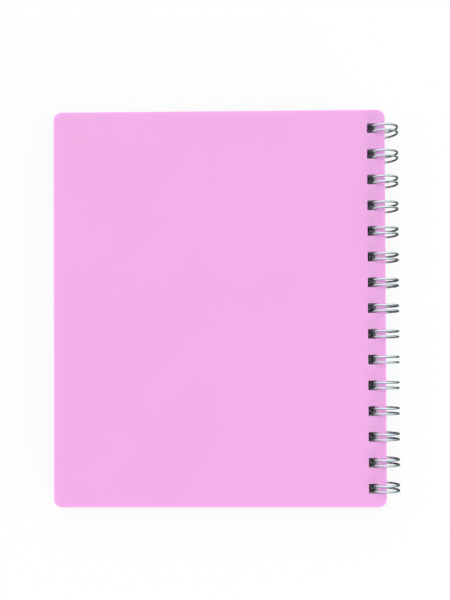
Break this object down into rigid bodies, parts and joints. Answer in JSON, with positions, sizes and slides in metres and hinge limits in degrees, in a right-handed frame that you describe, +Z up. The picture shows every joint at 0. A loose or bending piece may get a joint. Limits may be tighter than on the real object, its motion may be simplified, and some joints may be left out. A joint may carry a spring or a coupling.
{
  "type": "wire bound notebook",
  "caption": "Notebook with two plain pink covers with rounded corners, a block of sheets and a silver twin loop wire binding; both covers swing open on the rings.",
  "frame": {"origin": "bottom centre of the whole notebook's box, on the surface that the rings touch", "axes": "+Y along the spine towards the head, +X from the fore edge towards the spine and its rings, +Z up through the front cover"},
  "size_m": [0.1716, 0.196, 0.015],
  "materials": {
    "cover": "smooth satin sheet, plain pink",
    "sheets": "uncoated white paper, cut edges",
    "wire": "bright silver coated steel wire"
  },
  "bodies": {
    "bound_block": {"page_block": "sheets", "twin_loop_wire": "wire"},
    "front_cover": {"front_cover": "cover"},
    "back_cover": {"back_cover": "cover"}
  },
  "joints": [
    {"name": "front_cover_hinge", "type": "hinge", "parent": "bound_block", "child": "front_cover", "pos_m": [0.07827, 0, 0.0075], "axis": [0, 1, 0], "range_deg": [0, 180]},
    {"name": "back_cover_hinge", "type": "hinge", "parent": "bound_block", "child": "back_cover", "pos_m": [0.07827, 0, 0.0075], "axis": [0, -1, 0], "range_deg": [0, 180]}
  ]
}
